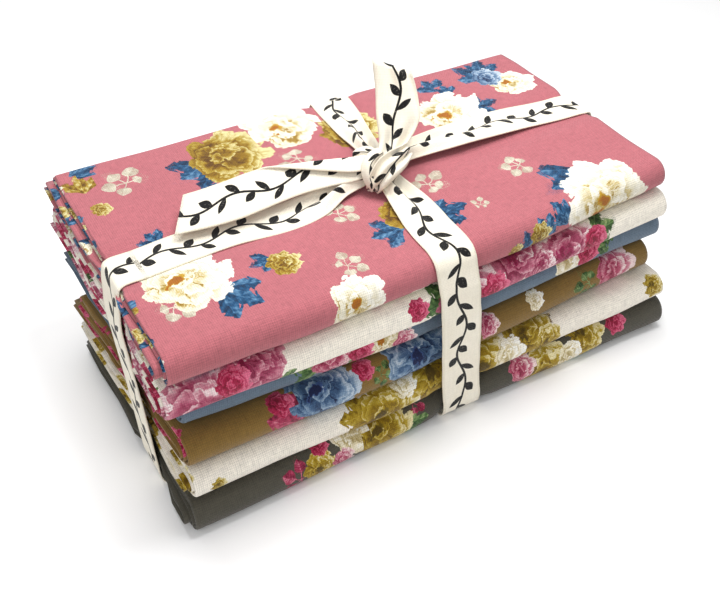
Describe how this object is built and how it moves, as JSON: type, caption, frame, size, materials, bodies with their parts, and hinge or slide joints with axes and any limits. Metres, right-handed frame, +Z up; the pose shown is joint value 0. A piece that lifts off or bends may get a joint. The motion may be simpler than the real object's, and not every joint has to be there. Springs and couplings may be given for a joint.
{
  "type": "fat quarter bundle",
  "caption": "Folded floral cotton quarters stacked and tied both ways with a flat cotton ribbon, knotted on top with two free tails.",
  "frame": {"origin": "centre of the bundle's box, on the surface it rests on", "axes": "+X along the bundle's long side, +Y to its back, +Z up"},
  "size_m": [0.189, 0.1138, 0.104],
  "materials": {
    "grey_print": "matte plain-weave printed cotton",
    "white_print": "matte plain-weave printed cotton",
    "tan_print": "matte plain-weave printed cotton",
    "blue_print": "matte plain-weave printed cotton",
    "cream_print": "matte plain-weave printed cotton",
    "pink_print": "matte plain-weave printed cotton",
    "ribbon": "matte cotton tape"
  },
  "bodies": {
    "root": {"cloth_1_grey": "grey_print", "cloth_2_white": "white_print", "cloth_3_tan": "tan_print", "cloth_4_blue": "blue_print", "cloth_5_rose": "cream_print", "cloth_6_pink": "pink_print", "ribbon_tie": "ribbon"}
  },
  "joints": []
}
